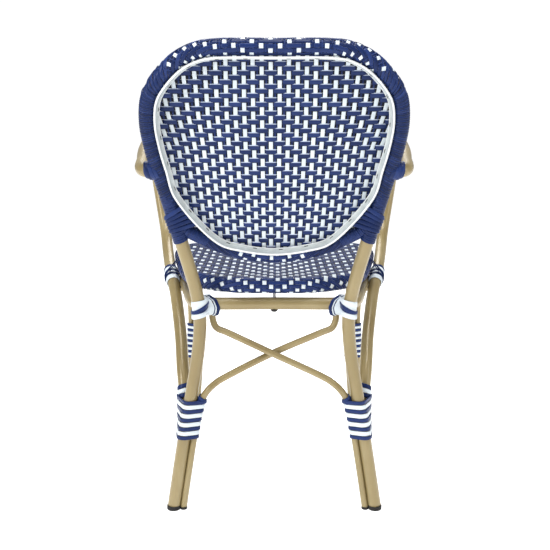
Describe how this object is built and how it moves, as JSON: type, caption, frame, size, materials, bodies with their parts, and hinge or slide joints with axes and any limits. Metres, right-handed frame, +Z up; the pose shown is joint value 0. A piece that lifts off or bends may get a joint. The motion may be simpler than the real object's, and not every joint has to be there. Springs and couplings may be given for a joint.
{
  "type": "rattan bistro chair",
  "caption": "Woven bistro armchair with a bent tube frame, a strand-wound hoop back, looped arms, a woven seat and crossed thin braces.",
  "frame": {"origin": "middle of the floor plan, on the floor", "axes": "+Z up, +Y the way the sitter faces, +X to the sitter's right"},
  "size_m": [0.578, 0.6036, 0.8834],
  "materials": {
    "frame_paint": "satin",
    "navy_strand": "satin",
    "white_strand": "satin",
    "band_plastic": "matte",
    "rubber": "matte",
    "bolt_steel": "brushed"
  },
  "bodies": {
    "root": {"back_frame": "frame_paint", "back_lower_rail": "frame_paint", "arm_right": "frame_paint", "arm_left": "frame_paint", "front_leg_right": "frame_paint", "front_leg_left": "frame_paint", "seat_rail": "frame_paint", "seat_frame": "frame_paint", "x_brace_right": "frame_paint", "x_brace_left": "frame_paint", "side_brace_right": "frame_paint", "side_brace_left": "frame_paint", "hoop_wrap": "navy_strand", "lower_rail_wrap": "navy_strand", "arm_joint_wrap_right": "navy_strand", "arm_joint_wrap_left": "navy_strand", "seat_weave": "navy_strand", "rear_ankle_blue_right": "navy_strand", "rear_ankle_blue_left": "navy_strand", "front_ankle_blue_right": "navy_strand", "front_ankle_blue_left": "navy_strand", "back_weave": "white_strand", "rear_joint_lashing_right": "white_strand", "rear_joint_lashing_left": "white_strand", "seat_side_lashing_right": "white_strand", "seat_side_lashing_left": "white_strand", "rear_ankle_white_right": "white_strand", "rear_ankle_white_left": "white_strand", "front_ankle_white_right": "white_strand", "front_ankle_white_left": "white_strand", "border_band": "band_plastic", "rear_foot_right": "rubber", "rear_foot_left": "rubber", "front_foot_right": "rubber", "front_foot_left": "rubber", "rear_thin_foot_right": "rubber", "rear_thin_foot_left": "rubber", "front_thin_foot_right": "rubber", "front_thin_foot_left": "rubber", "seat_bolt_cap_rear": "rubber", "seat_bolt_cap_front": "rubber", "seat_bolt_cap_right": "rubber", "seat_bolt_cap_left": "rubber", "seat_bolt_rear": "bolt_steel", "seat_bolt_front": "bolt_steel", "seat_bolt_right": "bolt_steel", "seat_bolt_left": "bolt_steel"}
  },
  "joints": []
}
